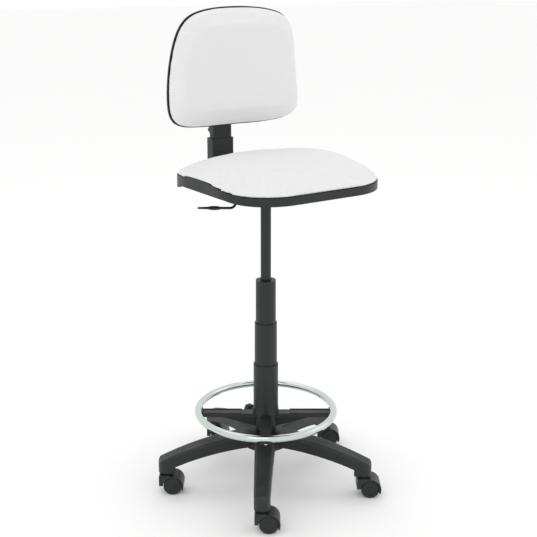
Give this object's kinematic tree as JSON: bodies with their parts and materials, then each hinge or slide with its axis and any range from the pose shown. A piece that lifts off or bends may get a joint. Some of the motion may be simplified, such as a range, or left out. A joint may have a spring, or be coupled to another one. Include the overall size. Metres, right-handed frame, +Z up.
{
  "type": "drafting chair",
  "caption": "Armless drafting chair: padded seat and back on a gas column with sleeves, chrome foot ring, star base and twin-wheel casters.",
  "frame": {"origin": "on the floor, on the column's axis", "axes": "+Z up along the column; -Y is the way the sitter faces; -X is the sitter's right"},
  "size_m": [0.6242, 0.5942, 1.291],
  "materials": {
    "black_nylon": "satin moulded, fine grain",
    "wheel_nylon": "satin moulded",
    "black_steel": "black powder coat",
    "zinc_steel": "zinc plated",
    "chrome": "bright plated",
    "white_acetal": "plain",
    "plywood": "plain",
    "white_fabric": "fine weave"
  },
  "bodies": {
    "base": {"star_base": "black_nylon", "caster_stems": "zinc_steel", "column_tube": "black_steel", "column_plate": "zinc_steel", "guide_bush": "white_acetal", "cover_top": "black_nylon"},
    "caster_rear": {"caster_rear_hood": "black_nylon", "caster_rear_axle": "zinc_steel"},
    "caster_rear_wheel_a_body": {"caster_rear_wheel_a": "wheel_nylon"},
    "caster_rear_wheel_b_body": {"caster_rear_wheel_b": "wheel_nylon"},
    "caster_right_rear": {"caster_right_rear_hood": "black_nylon", "caster_right_rear_axle": "zinc_steel"},
    "caster_right_rear_wheel_a_body": {"caster_right_rear_wheel_a": "wheel_nylon"},
    "caster_right_rear_wheel_b_body": {"caster_right_rear_wheel_b": "wheel_nylon"},
    "caster_right_front": {"caster_right_front_hood": "black_nylon", "caster_right_front_axle": "zinc_steel"},
    "caster_right_front_wheel_a_body": {"caster_right_front_wheel_a": "wheel_nylon"},
    "caster_right_front_wheel_b_body": {"caster_right_front_wheel_b": "wheel_nylon"},
    "caster_left_front": {"caster_left_front_hood": "black_nylon", "caster_left_front_axle": "zinc_steel"},
    "caster_left_front_wheel_a_body": {"caster_left_front_wheel_a": "wheel_nylon"},
    "caster_left_front_wheel_b_body": {"caster_left_front_wheel_b": "wheel_nylon"},
    "caster_left_rear": {"caster_left_rear_hood": "black_nylon", "caster_left_rear_axle": "zinc_steel"},
    "caster_left_rear_wheel_a_body": {"caster_left_rear_wheel_a": "wheel_nylon"},
    "caster_left_rear_wheel_b_body": {"caster_left_rear_wheel_b": "wheel_nylon"},
    "rod": {"piston_rod": "zinc_steel", "thrust_bearing": "zinc_steel", "rod_clip": "zinc_steel"},
    "upper": {"gas_cylinder": "black_steel", "cylinder_guide": "zinc_steel", "mechanism_housing": "black_steel", "pivot_bracket": "black_steel", "lever_pivot": "zinc_steel", "seat_pan": "black_nylon", "seat_board": "plywood", "seat_tee_nuts": "zinc_steel", "seat_bolts": "zinc_steel", "seat_cushion": "white_fabric", "back_bar": "black_steel", "bar_bolts": "zinc_steel", "back_bar_cover": "black_nylon"},
    "pin": {"release_pin": "zinc_steel"},
    "lever": {"lift_lever": "black_steel", "lever_grip": "black_nylon"},
    "middle_sleeve": {"cover_middle": "black_nylon"},
    "ring_carrier": {"cover_bottom": "black_nylon"},
    "ring": {"ring_hub": "black_nylon", "foot_ring": "chrome", "ring_screws": "zinc_steel"},
    "ring_clamp": {"ring_shoe": "white_acetal"},
    "ring_handknob": {"ring_knob": "black_nylon"},
    "backrest": {"back_carriage": "black_nylon", "back_shell": "black_nylon", "back_cushion": "white_fabric", "back_screws": "zinc_steel"},
    "back_clamp": {"back_shoe": "white_acetal"},
    "back_handknob": {"back_knob": "black_nylon"}
  },
  "joints": [
    {"name": "caster_rear_swivel", "type": "hinge", "parent": "base", "child": "caster_rear", "pos_m": [0, 0.2837, 0.05], "axis": [0, 0, 1], "continuous": true},
    {"name": "caster_rear_wheel_a_spin", "type": "hinge", "parent": "caster_rear", "child": "caster_rear_wheel_a_body", "pos_m": [0.01451, 0.27391, 0.025], "axis": [0.5592, 0.829, 0], "continuous": true},
    {"name": "caster_rear_wheel_b_spin", "type": "hinge", "parent": "caster_rear", "child": "caster_rear_wheel_b_body", "pos_m": [0.01451, 0.27391, 0.025], "axis": [0.5592, 0.829, 0], "continuous": true},
    {"name": "caster_right_rear_swivel", "type": "hinge", "parent": "base", "child": "caster_right_rear", "pos_m": [-0.26982, 0.08767, 0.05], "axis": [0, 0, 1], "continuous": true},
    {"name": "caster_right_rear_wheel_a_spin", "type": "hinge", "parent": "caster_right_rear", "child": "caster_right_rear_wheel_a_body", "pos_m": [-0.25531, 0.07788, 0.025], "axis": [0.5592, 0.829, 0], "continuous": true},
    {"name": "caster_right_rear_wheel_b_spin", "type": "hinge", "parent": "caster_right_rear", "child": "caster_right_rear_wheel_b_body", "pos_m": [-0.25531, 0.07788, 0.025], "axis": [0.5592, 0.829, 0], "continuous": true},
    {"name": "caster_right_front_swivel", "type": "hinge", "parent": "base", "child": "caster_right_front", "pos_m": [-0.16675, -0.22952, 0.05], "axis": [0, 0, 1], "continuous": true},
    {"name": "caster_right_front_wheel_a_spin", "type": "hinge", "parent": "caster_right_front", "child": "caster_right_front_wheel_a_body", "pos_m": [-0.15225, -0.2393, 0.025], "axis": [0.5592, 0.829, 0], "continuous": true},
    {"name": "caster_right_front_wheel_b_spin", "type": "hinge", "parent": "caster_right_front", "child": "caster_right_front_wheel_b_body", "pos_m": [-0.15225, -0.2393, 0.025], "axis": [0.5592, 0.829, 0], "continuous": true},
    {"name": "caster_left_front_swivel", "type": "hinge", "parent": "base", "child": "caster_left_front", "pos_m": [0.16675, -0.22952, 0.05], "axis": [0, 0, 1], "continuous": true},
    {"name": "caster_left_front_wheel_a_spin", "type": "hinge", "parent": "caster_left_front", "child": "caster_left_front_wheel_a_body", "pos_m": [0.18126, -0.2393, 0.025], "axis": [0.5592, 0.829, 0], "continuous": true},
    {"name": "caster_left_front_wheel_b_spin", "type": "hinge", "parent": "caster_left_front", "child": "caster_left_front_wheel_b_body", "pos_m": [0.18126, -0.2393, 0.025], "axis": [0.5592, 0.829, 0], "continuous": true},
    {"name": "caster_left_rear_swivel", "type": "hinge", "parent": "base", "child": "caster_left_rear", "pos_m": [0.26982, 0.08767, 0.05], "axis": [0, 0, 1], "continuous": true},
    {"name": "caster_left_rear_wheel_a_spin", "type": "hinge", "parent": "caster_left_rear", "child": "caster_left_rear_wheel_a_body", "pos_m": [0.28432, 0.07788, 0.025], "axis": [0.5592, 0.829, 0], "continuous": true},
    {"name": "caster_left_rear_wheel_b_spin", "type": "hinge", "parent": "caster_left_rear", "child": "caster_left_rear_wheel_b_body", "pos_m": [0.28432, 0.07788, 0.025], "axis": [0.5592, 0.829, 0], "continuous": true},
    {"name": "seat_swivel", "type": "hinge", "parent": "base", "child": "rod", "pos_m": [0, 0, 0.08], "axis": [0, 0, 1], "continuous": true},
    {"name": "seat_height", "type": "slide", "parent": "rod", "child": "upper", "axis": [0, 0, 1], "range_m": [-0.19, 0]},
    {"name": "lever_lift", "type": "hinge", "parent": "upper", "child": "lever", "pos_m": [-0.026, 0, 0.8465], "axis": [0, 1, 0], "range_deg": [0, 8], "stiffness_Nm_per_rad": 0.6},
    {"name": "pin_press", "type": "slide", "parent": "upper", "child": "pin", "axis": [0, 0, -1], "range_m": [0, 0.0042]},
    {"name": "middle_sleeve_slide", "type": "slide", "parent": "base", "child": "middle_sleeve", "axis": [0, 0, 1], "range_m": [0, 0.11]},
    {"name": "ring_height", "type": "slide", "parent": "base", "child": "ring_carrier", "axis": [0, 0, 1], "range_m": [0, 0.11]},
    {"name": "ring_turn", "type": "hinge", "parent": "ring_carrier", "child": "ring", "pos_m": [0, 0, 0.19], "axis": [0, 0, 1], "continuous": true},
    {"name": "ring_shoe_slide", "type": "slide", "parent": "ring", "child": "ring_clamp", "axis": [-0.1908, 0.9816, 0], "range_m": [0, 0.00126]},
    {"name": "ring_knob_turn", "type": "hinge", "parent": "ring_clamp", "child": "ring_handknob", "pos_m": [-0.01145, 0.0589, 0.19], "axis": [-0.1908, 0.9816, 0], "range_deg": [0, 360]},
    {"name": "back_height", "type": "slide", "parent": "upper", "child": "backrest", "axis": [0, 0, 1], "range_m": [0, 0.065]},
    {"name": "back_shoe_slide", "type": "slide", "parent": "backrest", "child": "back_clamp", "axis": [0, 1, 0], "range_m": [0, 0.00126]},
    {"name": "back_knob_turn", "type": "hinge", "parent": "back_clamp", "child": "back_handknob", "pos_m": [0, 0.25, 0.956], "axis": [0, 1, 0], "range_deg": [0, 360]}
  ],
  "couplings": [
    {"joint": "pin_press", "follows": "lever_lift", "m_per_rad": 0.028},
    {"joint": "ring_shoe_slide", "follows": "ring_knob_turn", "m_per_rad": 0.0001989},
    {"joint": "back_shoe_slide", "follows": "back_knob_turn", "m_per_rad": 0.0001989}
  ]
}
